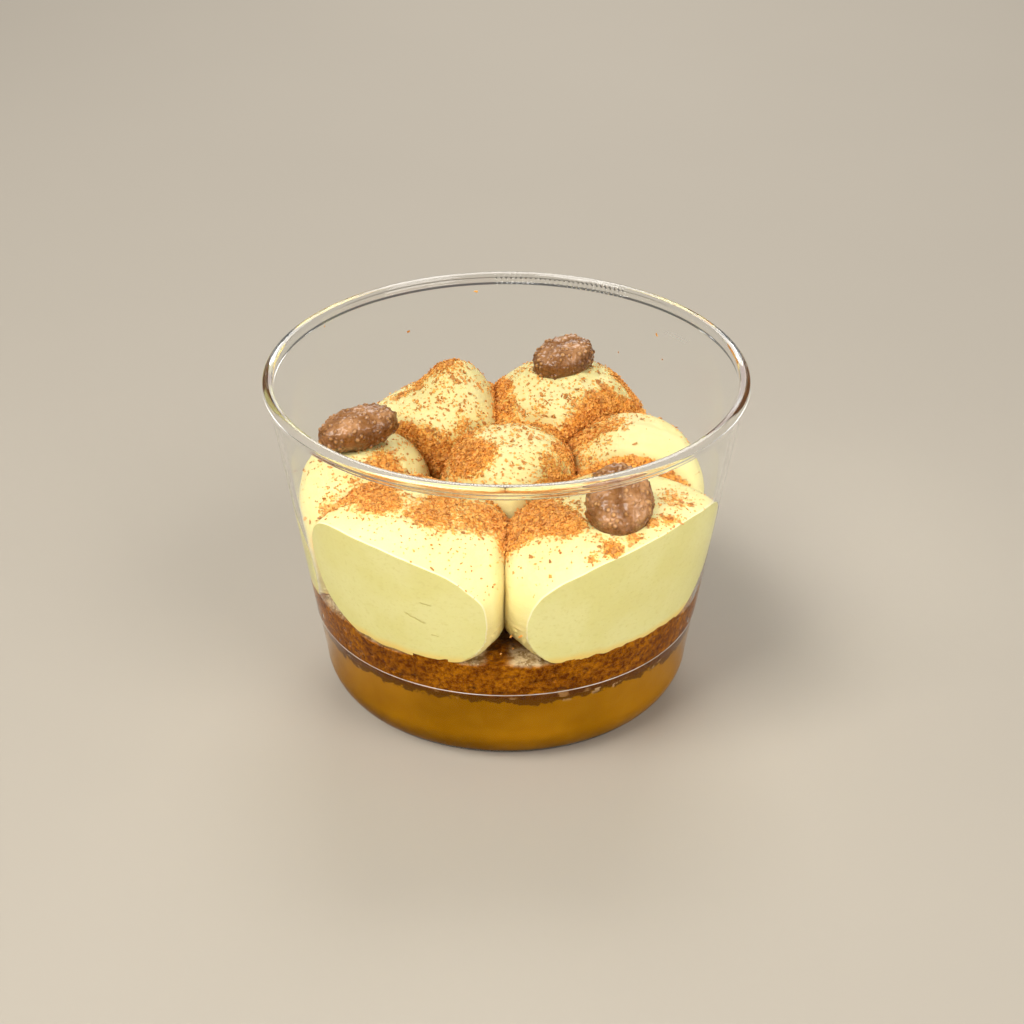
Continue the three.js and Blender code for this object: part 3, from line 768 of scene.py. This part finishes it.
def build_sponge(material):
    heights = np.linspace(CARAMEL_TOP - SPONGE_DEPTH, SPONGE_TOP + SPONGE_RISE, SPONGE_RINGS[0])
    side = list(zip(inner_radius(heights), heights))
    bottom = heights[0]
    top = heights[-1]
    edge = side[-1][0]
    top_rings = [(edge * share, top) for share in np.linspace(0.985, 0.1, SPONGE_RINGS[1])]
    profile = [(0, bottom), (side[0][0] * 0.6, bottom), *side, *top_rings, (0, top)]
    points, faces = lathe(profile, LAYER_SEGMENTS)
    radius = axis_distance(points)
    z = points[:, 2].copy()
    upper = smooth_step(z, SPONGE_TOP - 3.0, SPONGE_TOP + SPONGE_RISE)
    crumb = 0.5 * lumps(points, 2.6, 6) + 0.28 * lumps(points, 1.1, 7)
    points[:, 2] += upper * (crumb - 0.35)
    for azimuth, half_width, rise in CLIMBS:
        near = np.exp(-((turn_from(points, azimuth) / half_width) ** 2))
        points[:, 2] += upper * rise * near * smooth_step(radius, 31, 36)
    wet = np.zeros(len(points))
    for azimuth, height, half_width, half_height in WET_POCKETS:
        turn = turn_from(points, azimuth)
        far = np.hypot(turn / half_width, (points[:, 2] - height) / half_height)
        wet = np.maximum(wet, smooth_step(far + 0.35 * crumb, 1.25, 0.75))
    wet *= smooth_step(radius, 30, 35)
    on_side = radius > inner_radius(z) - SIDE_MARGIN
    keep_to_wall(points, on_side, np.interp(points[:, 2], [LINE_HEIGHT - 0.5, LINE_HEIGHT + 1], SPONGE_REACH))
    pits = smooth_step(lumps(points, 1.5, 8), 0.42, 0.6) * smooth_step(z, SPONGE_TOP - 0.8, SPONGE_TOP - 2.0)
    dent = np.where(on_side, 0.55 * pits + 0.7 * wet, 0)
    points[:, :2] *= (1 - dent / np.maximum(radius, 1))[:, None]
    low = smooth_step(z, LINE_HEIGHT - 0.2, LINE_HEIGHT - 1.4)
    make_piece(
        "soaked_sponge", points, faces, material, "sponge_layer", sharp_angle=70,
        attributes={"wet": wet, "low": low},
    )


def dollop_axes(dollop):
    """Unit vectors outward from the cup's axis and counter-clockwise round it."""
    angle = math.radians(dollop["azimuth"])
    outward = np.array([math.cos(angle), math.sin(angle), 0.0])
    around = np.array([-math.sin(angle), math.cos(angle), 0.0])
    return outward, around


def dollop_middle(dollop):
    return dollop_axes(dollop)[0] * dollop["distance"] + np.array([0, 0, dollop["height"]])


def blob_radius(dollop, directions):
    """The rounded blob of one dollop before anything presses on it: its radius by direction."""
    outward, around = dollop_axes(dollop)
    x = directions @ outward
    side = directions @ around
    rise = directions[:, 2]
    turn, lean = math.cos(dollop["roll"]), math.sin(dollop["roll"])
    y = turn * side + lean * rise
    z = turn * rise - lean * side
    reach = np.where(x > 0, dollop["outward"], dollop["inward"])
    plan = np.where(x > 0, dollop["plan_out"], dollop["plan_in"])
    depth = np.where(z > 0, dollop["up"], dollop["down"])
    section = dollop["section"]
    flat = (np.abs(x / reach) ** plan + np.abs(y / dollop["sideways"]) ** plan) ** (1 / plan)
    radius = (flat**section + np.abs(z / depth) ** section) ** (-1 / section)
    for azimuth, elevation, height, width in dollop["peaks"]:
        a, e = math.radians(azimuth), math.radians(elevation)
        towards = (outward * math.cos(a) + around * math.sin(a)) * math.cos(e)
        towards[2] += math.sin(e)
        off = np.degrees(np.arccos(np.clip(directions @ towards, -1, 1)))
        radius += height * np.exp(-((off / width) ** 2))
    return radius


def dollop_planes(name):
    """The planes that a dollop is pressed against: unit normal, offset and rounding."""
    dollop = DOLLOPS[name]
    planes = [(np.array([0.0, 0.0, -1.0]), -CREAM_BASE, BASE_ROUNDING)]
    if dollop["span"] is None:
        for other, settings in DOLLOPS.items():
            if other != name:
                planes.append((dollop_axes(settings)[0], CENTRE_SPLIT - CREASE_GAP, CREASE_ROUNDING))
        return planes
    start, end = (math.radians(angle) for angle in dollop["span"])
    towards_start = np.array([math.sin(start), -math.cos(start), 0.0])
    towards_end = np.array([-math.sin(end), math.cos(end), 0.0])
    planes.append((towards_start, -CREASE_GAP, CREASE_ROUNDING))
    planes.append((towards_end, -CREASE_GAP, CREASE_ROUNDING))
    planes.append((-dollop_axes(dollop)[0], -CENTRE_SPLIT - CREASE_GAP, CREASE_ROUNDING))
    return planes


def pressed_radius(name, directions, relief=0.0, wave=0.0):
    """The dollop's radius by direction, with its neighbours and the sponge pressing on it."""
    dollop = DOLLOPS[name]
    middle = dollop_middle(dollop)
    radius = blob_radius(dollop, directions) + relief
    for normal, offset, rounding in dollop_planes(name):
        facing = directions @ normal
        room = offset - middle @ normal
        if normal[2] < 0:
            room = room + wave
        distance = np.where(facing > 1e-6, room / np.maximum(facing, 1e-6), RIM_RADIUS * 2)
        radius = smooth_min(radius, np.minimum(distance, RIM_RADIUS * 2), rounding)
    return radius


def free_radius(name, directions):
    """The same with the cream's gentle lumps and its uneven base."""
    dollop = DOLLOPS[name]
    seed = list(DOLLOPS).index(name)
    rough = dollop_middle(dollop) + directions * blob_radius(dollop, directions)[:, None]
    relief = 0.55 * lumps(rough, 8.0, seed) + 0.16 * lumps(rough, 2.6, seed + 20)
    return pressed_radius(name, directions, relief, CREAM_BASE_WAVE * lumps(rough, 5.0, seed + 40))


def is_hidden(points, name):
    """Whether points of a dollop lie well inside one of its neighbours."""
    hidden = np.zeros(len(points), bool)
    for other, settings in DOLLOPS.items():
        if other != name:
            offset = points - dollop_middle(settings)
            hidden |= np.linalg.norm(offset, axis=1) < pressed_radius(other, unit(offset)) - HIDDEN_DEPTH
    return hidden


def wall_distance(middle, directions):
    """How far it is from a point inside to just into the cup's tapered wall."""
    x, y, z = middle
    radius_here = inner_radius(z) + WALL_REACH
    dx, dy, dz = directions.T
    a = dx**2 + dy**2 - (WALL_SLOPE * dz) ** 2
    b = 2 * (x * dx + y * dy - radius_here * WALL_SLOPE * dz)
    c = x**2 + y**2 - radius_here**2
    root = np.sqrt(np.maximum(b**2 - 4 * a * c, 0))
    reach = np.where(a > 1e-6, (-b + root) / (2 * np.maximum(a, 1e-6)), RIM_RADIUS * 2)
    return np.minimum(reach, RIM_RADIUS * 2)


def snap_to_crease(directions, faces, excess):
    """Moves the nearer end of each edge that crosses the crease, where excess is 0, onto it."""
    edges = np.vstack([faces[:, [0, 1]], faces[:, [1, 2]], faces[:, [2, 0]]])
    start, end = excess[edges[:, 0]], excess[edges[:, 1]]
    crossing = np.sign(start) != np.sign(end)
    edges, start, end = edges[crossing], start[crossing], end[crossing]
    share = start / (start - end)
    here, there = directions[edges[:, 0]], directions[edges[:, 1]]
    moved = directions.copy()
    moved[np.where(share < 0.5, edges[:, 0], edges[:, 1])] = here + (there - here) * share[:, None]
    return unit(moved)


def bean_axes(bean):
    """The bean's length, width and depth directions, as rows."""
    turn, tilt = math.radians(bean["turn"]), math.radians(bean["tilt"])
    length = np.array([math.cos(turn) * math.cos(tilt), math.sin(turn) * math.cos(tilt), math.sin(tilt)])
    width = np.array([-math.sin(turn), math.cos(turn), 0.0])
    return np.stack([length, width, np.cross(length, width)])


def bean_depth(points, bean):
    """How deep points lie in a bean: 0 at its middle and 1 on its surface."""
    local = (points - np.array(bean["middle"])) @ bean_axes(bean).T
    return np.linalg.norm(local / np.array(bean["half"]), axis=1)


def crease_depth(points, name):
    """How far points lie from the nearest neighbour's side of the crease, below 0 beyond it."""
    sides = [(normal, offset) for normal, offset, _ in dollop_planes(name) if normal[2] == 0]
    return np.min([offset + CREASE_GAP - points @ normal for normal, offset in sides], axis=0)


def dust_cover(points, normals, crease_gap):
    """The share of the surface that grated chocolate covers. It gathers in the creases."""
    clear = np.full(len(points), 1 - DUST_EVERYWHERE)
    for x, y, radius, share in DUST_PATCHES:
        far = np.hypot(points[:, 0] - x, points[:, 1] - y) / radius
        clear *= 1 - share * np.exp(-(far**3))
    x, y, radius = BARE_SPOT
    far = np.hypot(points[:, 0] - x, points[:, 1] - y) / radius
    cover = (1 - clear) * (1 - 0.85 * np.exp(-(far**4)))
    cover *= smooth_step(normals[:, 2], 0.12, 0.55)
    gathered = 0.95 * smooth_step(crease_gap + 0.6 * lumps(points, 2.5, 64), 1.4, 0.2)
    gathered *= smooth_step(points[:, 2], *GATHERING_HEIGHT) * smooth_step(points[:, 1], *GATHERING_Y)
    gathered *= smooth_step(normals[:, 2], -0.35, 0.1)
    return np.maximum(cover, gathered)


def smear_cover(points, wall_gap):
    """The share of the surface beside the wall that smeared chocolate covers."""
    cover = np.zeros(len(points))
    for azimuth, low, high, half_width, share in SMEARS:
        turn = turn_from(points, azimuth) + lumps(points, 3.0, 62)
        band = np.exp(-((turn / half_width) ** 4))
        band *= smooth_step(points[:, 2], low - 3, low + 3) * smooth_step(points[:, 2], high + 2, high - 2)
        cover = np.maximum(cover, share * band)
    return cover * smooth_step(wall_gap, 5.0, 2.5)


def point_normals(points, faces):
    across = face_crosses(points[faces])
    normals = np.zeros_like(points)
    for corner in range(3):
        np.add.at(normals, faces[:, corner], across)
    return normals / np.maximum(np.linalg.norm(normals, axis=1, keepdims=True), 1e-12)


def build_dollop(name, material):
    """One dollop of cream, flat on the wall. Returns what the chocolate is scattered on."""
    middle = dollop_middle(DOLLOPS[name])
    directions, faces = ball(CREAM_CUTS)
    excess = free_radius(name, directions) - wall_distance(middle, directions)
    directions = snap_to_crease(directions, faces, excess)
    free = free_radius(name, directions)
    wall = wall_distance(middle, directions)
    points = middle + directions * np.minimum(free, wall)[:, None]
    pushed = np.zeros(len(points))
    for bean in BEANS.values():
        ring = np.exp(-(((bean_depth(points, bean) - LIP_PLACE) / LIP_WIDTH) ** 2))
        pushed += bean["lip"] * ring * (0.35 + 0.9 * lumps(points, 1.9, bean["seed"]))
    wrinkle = np.sin(points[:, 2] * WRINKLE_RATE + 4 * lumps(points, 6.0, 60))
    pushed += WRINKLE_HEIGHT * wrinkle * smooth_step(points[:, 2] - CREAM_BASE, *WRINKLE_SPAN)
    open_air = smooth_step(wall - free, 0.0, 0.8)
    points += directions * (pushed * open_air)[:, None]
    normals = point_normals(points, faces)
    wall_gap = inner_radius(points[:, 2]) + WALL_REACH - axis_distance(points)
    soaked = smooth_step(points[:, 2] + 0.5 * lumps(points, 3.0, 61), CREAM_BASE + 2.2, CREAM_BASE - 0.2)
    crease_gap = crease_depth(points, name)
    cover = dust_cover(points, normals, crease_gap) * smooth_step(wall_gap, 0.1, 0.4)
    cover[is_hidden(points, name)] = 0
    heap = smooth_step(cover, 0.6, 1.0) * open_air
    points += normals * (heap * (0.2 + 0.45 * lumps(points, 1.3, 63)))[:, None]
    make_piece(
        name.replace("cream_", "cream_dollop_"), points, faces, material, name, sharp_angle=38,
        attributes={
            "wall_gap": wall_gap,
            "soaked": soaked,
            "dust": cover,
            "smear": smear_cover(points, wall_gap),
            # painted shade: how near the crease a point lies, which darkens the cream there
            "crease": smooth_step(crease_gap, 3.0, 0.3),
        },
    )
    return points, faces, normals, cover


def bean_rise(z):
    """How high a point of the unit ball lies on a bean, whose top is flatter than its underside."""
    return np.where(z < 0, z * BEAN_UNDERSIDE, np.abs(z) ** BEAN_FLATTENING)


def build_bean(name, material):
    bean = BEANS[name]
    seed = bean["seed"]
    rng = np.random.default_rng(seed)
    directions, faces = ball(BEAN_CUTS)
    half = np.array(bean["half"])
    shape = directions * half
    shape[:, 2] = bean_rise(directions[:, 2]) * half[2]
    shape *= (1 + 0.045 * lumps(shape, 5.0, seed))[:, None]
    area = 4 * math.pi * np.mean([half[0] * half[1], half[0] * half[2], half[1] * half[2]])
    count = int(area / NODULE_SPACING**2)
    order = np.arange(count) + 0.5
    rise = 1 - 2 * order / count
    turn = math.pi * (3 - math.sqrt(5)) * order + rng.uniform(-0.5, 0.5, count)
    level = np.sqrt(1 - rise**2)
    towards = np.stack([np.cos(turn) * level, np.sin(turn) * level, rise], axis=1)
    towards = unit(towards + rng.normal(0, 0.06, (count, 3)))
    seats = towards * half
    seats[:, 2] = bean_rise(towards[:, 2]) * half[2]
    bump = np.zeros(len(shape))
    crevice_shade = np.zeros(len(shape))
    for place, size in zip(seats, rng.uniform(*NODULE_SIZE, count)):
        far = np.linalg.norm(shape - place, axis=1) / size
        bump = np.maximum(bump, size * np.sqrt(np.clip(1 - far**2, 0, 1)))
        # painted shade in the crevice round each nodule
        crevice_shade = np.maximum(crevice_shade, smooth_step(far, 0.75, 1.0) * smooth_step(far, 1.6, 1.1))
    outward = unit(shape / half**2)
    relief = 0.85 * bump + 0.22 * lumps(shape, 1.6, seed + 3)
    relief += 0.16 * lumps(shape, 0.75, seed + 4)
    half_width, fade = GROOVE
    across = shape[:, 1] + 0.5 * lumps(shape, 4.0, seed + 5)
    groove = np.exp(-((across / half_width) ** 2)) * smooth_step(directions[:, 2], 0.1, 0.5)
    groove *= smooth_step(1 - np.abs(shape[:, 0]) / half[0], 0.08, fade)
    # where the bean is painted in its lit top tone rather than its shaded side tone
    upper = smooth_step(directions[:, 2] + 0.15 * lumps(shape, 2.5, seed + 6), 0.15, 0.6)
    shape += outward * (relief - bean["groove"] * groove)[:, None]
    points = shape @ bean_axes(bean) + np.array(bean["middle"])
    groove_shade = groove * bean["groove"] / DEEPEST_GROOVE
    make_piece(
        name.replace("coffee_bean_", "chocolate_bean_"), points, faces, material, name,
        sharp_angle=60,
        attributes={
            "nodule": smooth_step(bump, 0.15, 0.5),
            "crevice_shade": np.maximum(crevice_shade * 0.7, groove_shade),
            "upper": upper,
        },
    )


def scatter(surfaces, count, rng, power):
    """Places, normals and cover on the dollops, drawn where the chocolate lies thick."""
    corners = np.vstack([points[faces] for points, faces, _, _ in surfaces])
    directions = np.vstack([normals[faces] for _, faces, normals, _ in surfaces])
    cover = np.concatenate([cover[faces].mean(axis=1) for _, faces, _, cover in surfaces])
    weight = np.linalg.norm(face_crosses(corners), axis=1) * cover**power
    chosen = rng.choice(len(weight), count, p=weight / weight.sum())
    share = rng.dirichlet((1, 1, 1), count)
    places = (corners[chosen] * share[:, :, None]).sum(axis=1)
    normals = unit((directions[chosen] * share[:, :, None]).sum(axis=1))
    kept = np.ones(count, bool)
    for bean in BEANS.values():
        kept &= bean_depth(places, bean) > DUST_OFF_BEAN
    return places[kept], normals[kept], cover[chosen][kept]


def turned_axes(normals, rng, tilt):
    """For each normal, axes along, across and up a grain that lies on it, tilted at random."""
    up = unit(normals + rng.normal(0, 1, normals.shape) * tilt[:, None])
    along = unit(np.cross(up, rng.normal(size=up.shape)))
    return np.stack([along, np.cross(up, along), up], axis=1)


def joined_copies(shapes, faces):
    """One mesh's points and faces from many copies of a small shape."""
    count, corners, _ = shapes.shape
    starts = np.arange(count)[:, None, None] * corners
    return shapes.reshape(-1, 3), (np.array(faces)[None] + starts).reshape(-1, len(faces[0]))


# A chip: four corners round its edge, then its top and its underside
CHIP_CORNERS = np.array(
    [(-0.5, -0.5, 0), (0.5, -0.5, 0), (0.5, 0.5, 0), (-0.5, 0.5, 0), (0, 0, 0.5), (0, 0, -0.5)]
)
CHIP_FACES = [(0, 1, 4), (1, 2, 4), (2, 3, 4), (3, 0, 4), (1, 0, 5), (2, 1, 5), (3, 2, 5), (0, 3, 5)]


def build_grains(surfaces, material):
    """Fine grated chocolate: small broken chips lying on the cream, and a few stuck to the wall."""
    rng = np.random.default_rng(GRAIN_SEED)
    places, normals, cover = scatter(surfaces, GRAIN_COUNT, rng, 1.4)
    count = len(places)
    length = GRAIN_SIZE[0] + (GRAIN_SIZE[1] - GRAIN_SIZE[0]) * rng.beta(1.3, 3.4, count)
    length *= 0.85 + 0.6 * cover
    crumbs = np.array(WALL_CRUMBS)
    outward = level_directions(np.radians(crumbs[:, 0]))
    stuck = outward * (inner_radius(crumbs[:, 1]) - 0.05)[:, None]
    stuck[:, 2] = crumbs[:, 1]
    places = np.vstack([places, stuck])
    normals = np.vstack([normals, -outward])
    length = np.concatenate([length, crumbs[:, 2]])
    tilt = np.concatenate([0.25 + 0.45 * cover, np.full(len(crumbs), 0.1)])
    count = len(places)
    width = length * rng.uniform(0.35, 0.95, count)
    size = np.stack([length, width, rng.uniform(*GRAIN_THICKNESS, count)], axis=1)
    shapes = CHIP_CORNERS * size[:, None] * rng.uniform(0.5, 1.3, (count, 6, 3))
    shapes = np.einsum("nij,njk->nik", shapes, turned_axes(normals, rng, tilt))
    lift = size[:, 2] * rng.uniform(0.2, 1.2, count)
    shapes += (places + normals * lift[:, None])[:, None]
    points, faces = joined_copies(shapes, CHIP_FACES)
    tone = np.repeat(rng.beta(2.2, 1.5, count), len(CHIP_CORNERS))
    make_piece(
        "cocoa_grains", points, faces, material, sharp_angle=25, attributes={"tone": tone},
    )


def build_shavings(surfaces, material):
    """Larger shavings: thin curved slivers."""
    rng = np.random.default_rng(SHAVING_SEED)
    places, normals, cover = scatter(surfaces, SHAVING_COUNT, rng, 1.7)
    count = len(places)
    along = np.linspace(-0.5, 0.5, SHAVING_STEPS + 1)
    length = SHAVING_SIZE[0] + (SHAVING_SIZE[1] - SHAVING_SIZE[0]) * rng.beta(1.2, 3.0, count)
    width = length * rng.uniform(0.3, 0.7, count)
    curl = length * rng.uniform(-0.1, 0.3, count)
    taper = 1 - 0.5 * np.abs(along * 2) ** 2
    rows = []
    for side, level in ((-0.5, 0), (0.5, 0), (0.5, 1), (-0.5, 1)):
        x = along * length[:, None]
        y = side * width[:, None] * taper * rng.uniform(0.7, 1.2, (count, SHAVING_STEPS + 1))
        z = curl[:, None] * (along * 2) ** 2 + (level - 0.5) * SHAVING_THICKNESS
        rows.append(np.stack([x, y, z], axis=2))
    shapes = np.stack(rows, axis=2).reshape(count, -1, 3)
    faces = [(3, 2, 1, 0)]
    for step in range(SHAVING_STEPS):
        low = step * 4
        faces += [(low + i, low + (i + 1) % 4, low + 4 + (i + 1) % 4, low + 4 + i) for i in range(4)]
    last = SHAVING_STEPS * 4
    faces.append((last, last + 1, last + 2, last + 3))
    shapes = np.einsum("nij,njk->nik", shapes, turned_axes(normals, rng, 0.15 + 0.3 * cover))
    shapes += (places + normals * 0.12)[:, None]
    points, faces = joined_copies(shapes, faces)
    tone = np.repeat(rng.beta(2.0, 2.0, count), (SHAVING_STEPS + 1) * 4)
    make_piece(
        "chocolate_shavings", points, faces, material, sharp_angle=25, attributes={"tone": tone},
    )


def aim(thing, place, target):
    thing.location = Vector(place) * MM
    thing.rotation_euler = (Vector(target) - Vector(place)).to_track_quat("-Z", "Y").to_euler()


def build_camera():
    data = bpy.data.cameras.new("camera")
    data.lens = CAMERA_LENS
    data.shift_x = CAMERA_SHIFT
    camera = add_object("camera", data)
    aim(camera, CAMERA_PLACE, CAMERA_TARGET)
    bpy.context.scene.camera = camera


def set_view():
    """Plain colours, and bounces enough for light that runs along inside the clear wall."""
    scene = bpy.context.scene
    scene.view_settings.view_transform = "Standard"
    scene.cycles.max_bounces = LIGHT_BOUNCES
    scene.cycles.glossy_bounces = LIGHT_BOUNCES
    scene.cycles.transmission_bounces = LIGHT_BOUNCES


def build_stage():
    for name, place, target, size, strength, colour in LIGHTS:
        data = bpy.data.lights.new(name, "AREA")
        data.size = size * MM
        data.energy = strength
        data.color = colour
        aim(add_object(name, data), place, target)
    world = bpy.data.worlds.new("studio")
    world.use_nodes = True
    background = world.node_tree.nodes["Background"]
    background.inputs["Color"].default_value = (*WORLD_COLOUR, 1)
    background.inputs["Strength"].default_value = WORLD_STRENGTH
    bpy.context.scene.world = world
    half = FLOOR_SIZE / 2 * MM
    mesh = bpy.data.meshes.new("floor")
    corners = [(-half, -half, 0), (half, -half, 0), (half, half, 0), (-half, half, 0)]
    mesh.from_pydata(corners, [], [(0, 1, 2, 3)])
    mesh.materials.append(floor_finish())
    floor = add_object("floor", mesh)


build_camera()
set_view()
build_stage()
build_cup(clear_plastic("clear wall", 1.1, 0.1), clear_plastic("clear rim", 1.49, 0.2))
build_wall_line(ridge_plastic_painted_highlight())
build_caramel(caramel())
build_sponge(sponge())
cream_finish = cream()
surfaces = [build_dollop(name, cream_finish) for name in DOLLOPS]
bean_finish = bean_chocolate()
for bean_name in BEANS:
    build_bean(bean_name, bean_finish)
build_grains(surfaces, grated_chocolate("cocoa grains", (0.50, 0.155, 0.012), (0.98, 0.49, 0.10)))
build_shavings(surfaces, grated_chocolate("chocolate shavings", (0.42, 0.16, 0.028), (0.84, 0.39, 0.10)))
